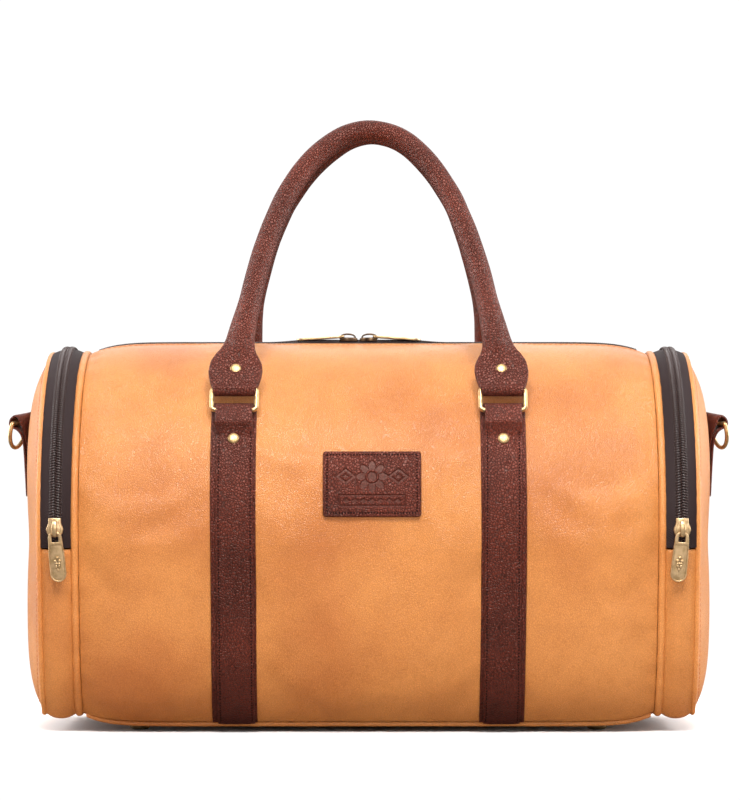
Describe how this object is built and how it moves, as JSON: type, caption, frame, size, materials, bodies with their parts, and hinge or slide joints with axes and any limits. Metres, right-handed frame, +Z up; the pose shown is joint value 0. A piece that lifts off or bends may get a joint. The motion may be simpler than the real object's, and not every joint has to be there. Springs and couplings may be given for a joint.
{
  "type": "weekender duffel bag",
  "caption": "Barrel duffel with flat floor, zipped end pockets, two rolled handles on rectangular rings, full-height straps, end D-rings and a two-way top zip.",
  "frame": {"origin": "on the floor under the middle of the bag", "axes": "+X along the barrel towards the right end pocket, -Y out of the face that carries the patch, +Z up"},
  "size_m": [0.5302, 0.2642, 0.444],
  "materials": {
    "tan_leather": "fine grain, satin",
    "dark_leather": "pebbled, satin",
    "zip_tape": "woven tape with a spiral coil",
    "antique_brass": "aged, satin",
    "lining_cloth": "plain weave",
    "board": "matte"
  },
  "bodies": {
    "bag": {"front_panel": "tan_leather", "rear_panel": "tan_leather", "bottom_panel": "tan_leather", "bottom_piping_front": "tan_leather", "bottom_piping_rear": "tan_leather", "main_zip_tape_front": "zip_tape", "main_zip_tape_rear": "zip_tape", "main_lining": "lining_cloth", "base_board": "board", "foot_front_left": "antique_brass", "foot_front_right": "antique_brass", "foot_rear_left": "antique_brass", "foot_rear_right": "antique_brass", "right_seam_piping": "tan_leather", "right_pocket_gusset": "tan_leather", "right_pocket_zip_inner": "zip_tape", "right_end_panel_lower": "tan_leather", "right_edge_piping_lower": "tan_leather", "left_seam_piping": "tan_leather", "left_pocket_gusset": "tan_leather", "left_pocket_zip_inner": "zip_tape", "left_end_panel_lower": "tan_leather", "left_edge_piping_lower": "tan_leather", "front_left_strap": "dark_leather", "front_left_strap_rivet": "antique_brass", "front_right_strap": "dark_leather", "front_right_strap_rivet": "antique_brass", "rear_left_strap": "dark_leather", "rear_left_strap_rivet": "antique_brass", "rear_right_strap": "dark_leather", "rear_right_strap_rivet": "antique_brass", "maker_patch": "dark_leather"},
    "left_flap": {"left_pocket_zip_outer": "zip_tape", "left_end_flap": "tan_leather", "left_edge_piping_flap": "tan_leather", "left_strap_tab": "dark_leather"},
    "left_d_ring_body": {"left_d_ring": "antique_brass"},
    "left_pocket_slider_body": {"left_pocket_slider": "antique_brass"},
    "left_pocket_pull_body": {"left_pocket_pull": "antique_brass"},
    "left_main_slider_body": {"main_zip_slider_left": "antique_brass"},
    "left_main_pull_body": {"main_zip_pull_left": "antique_brass"},
    "right_flap": {"right_pocket_zip_outer": "zip_tape", "right_end_flap": "tan_leather", "right_edge_piping_flap": "tan_leather", "right_strap_tab": "dark_leather"},
    "right_d_ring_body": {"right_d_ring": "antique_brass"},
    "right_pocket_slider_body": {"right_pocket_slider": "antique_brass"},
    "right_pocket_pull_body": {"right_pocket_pull": "antique_brass"},
    "right_main_slider_body": {"main_zip_slider_right": "antique_brass"},
    "right_main_pull_body": {"main_zip_pull_right": "antique_brass"},
    "front_handle_body": {"front_handle": "dark_leather", "front_left_handle_rivet": "antique_brass", "front_right_handle_rivet": "antique_brass"},
    "front_left_ring_body": {"front_left_ring": "antique_brass"},
    "front_right_ring_body": {"front_right_ring": "antique_brass"},
    "rear_handle_body": {"rear_handle": "dark_leather", "rear_left_handle_rivet": "antique_brass", "rear_right_handle_rivet": "antique_brass"},
    "rear_left_ring_body": {"rear_left_ring": "antique_brass"},
    "rear_right_ring_body": {"rear_right_ring": "antique_brass"}
  },
  "joints": [
    {"name": "front_left_ring_swing", "type": "hinge", "parent": "bag", "child": "front_left_ring_body", "pos_m": [-0.095, -0.1105, 0.2295], "axis": [1, 0, 0], "range_deg": [0, 140]},
    {"name": "front_right_ring_swing", "type": "hinge", "parent": "bag", "child": "front_right_ring_body", "pos_m": [0.095, -0.1105, 0.2295], "axis": [1, 0, 0], "range_deg": [0, 140]},
    {"name": "front_handle_swing", "type": "hinge", "parent": "front_left_ring_body", "child": "front_handle_body", "pos_m": [0, -0.1035, 0.245], "axis": [1, 0, 0], "range_deg": [-0.8, 48]},
    {"name": "rear_left_ring_swing", "type": "hinge", "parent": "bag", "child": "rear_left_ring_body", "pos_m": [-0.095, 0.1105, 0.2295], "axis": [-1, 0, 0], "range_deg": [0, 140]},
    {"name": "rear_right_ring_swing", "type": "hinge", "parent": "bag", "child": "rear_right_ring_body", "pos_m": [0.095, 0.1105, 0.2295], "axis": [-1, 0, 0], "range_deg": [0, 140]},
    {"name": "rear_handle_swing", "type": "hinge", "parent": "rear_left_ring_body", "child": "rear_handle_body", "pos_m": [0, 0.1035, 0.245], "axis": [-1, 0, 0], "range_deg": [-0.8, 48]},
    {"name": "left_main_slider_travel", "type": "slide", "parent": "bag", "child": "left_main_slider_body", "axis": [-1, 0, 0], "range_m": [0, 0.145]},
    {"name": "left_main_pull_lift", "type": "hinge", "parent": "left_main_slider_body", "child": "left_main_pull_body", "pos_m": [-0.0185, 0, 0.2858], "axis": [0, 1, 0], "range_deg": [0, 125]},
    {"name": "left_pocket_slider_travel", "type": "hinge", "parent": "bag", "child": "left_pocket_slider_body", "pos_m": [-0.22, 0, 0.153], "axis": [-1, 0, 0], "range_deg": [0, 184]},
    {"name": "left_pocket_pull_lift", "type": "hinge", "parent": "left_pocket_slider_body", "child": "left_pocket_pull_body", "pos_m": [-0.22, -0.12915, 0.14278], "axis": [-1, 0, 0], "range_deg": [0, 125]},
    {"name": "left_flap_open", "type": "hinge", "parent": "bag", "child": "left_flap", "pos_m": [-0.238, 0, 0.132], "axis": [0, -1, 0], "range_deg": [0, 40]},
    {"name": "left_d_ring_swing", "type": "hinge", "parent": "left_flap", "child": "left_d_ring_body", "pos_m": [-0.258, 0, 0.2216], "axis": [0.342, 0.9397, 0], "range_deg": [0, 100]},
    {"name": "right_main_slider_travel", "type": "slide", "parent": "bag", "child": "right_main_slider_body", "axis": [1, 0, 0], "range_m": [0, 0.16]},
    {"name": "right_main_pull_lift", "type": "hinge", "parent": "right_main_slider_body", "child": "right_main_pull_body", "pos_m": [0.0039, 0, 0.2858], "axis": [0, -1, 0], "range_deg": [0, 125]},
    {"name": "right_pocket_slider_travel", "type": "hinge", "parent": "bag", "child": "right_pocket_slider_body", "pos_m": [0.22, 0, 0.153], "axis": [-1, 0, 0], "range_deg": [0, 184]},
    {"name": "right_pocket_pull_lift", "type": "hinge", "parent": "right_pocket_slider_body", "child": "right_pocket_pull_body", "pos_m": [0.22, -0.12915, 0.14278], "axis": [-1, 0, 0], "range_deg": [0, 125]},
    {"name": "right_flap_open", "type": "hinge", "parent": "bag", "child": "right_flap", "pos_m": [0.238, 0, 0.132], "axis": [0, 1, 0], "range_deg": [0, 40]},
    {"name": "right_d_ring_swing", "type": "hinge", "parent": "right_flap", "child": "right_d_ring_body", "pos_m": [0.258, 0, 0.2216], "axis": [0.342, -0.9397, 0], "range_deg": [0, 100]}
  ],
  "couplings": [
    {"joint": "front_right_ring_swing", "follows": "front_left_ring_swing", "ratio": 1},
    {"joint": "rear_right_ring_swing", "follows": "rear_left_ring_swing", "ratio": 1},
    {"joint": "left_flap_open", "follows": "left_pocket_slider_travel", "ratio": 0.2173},
    {"joint": "right_flap_open", "follows": "right_pocket_slider_travel", "ratio": 0.2173}
  ]
}
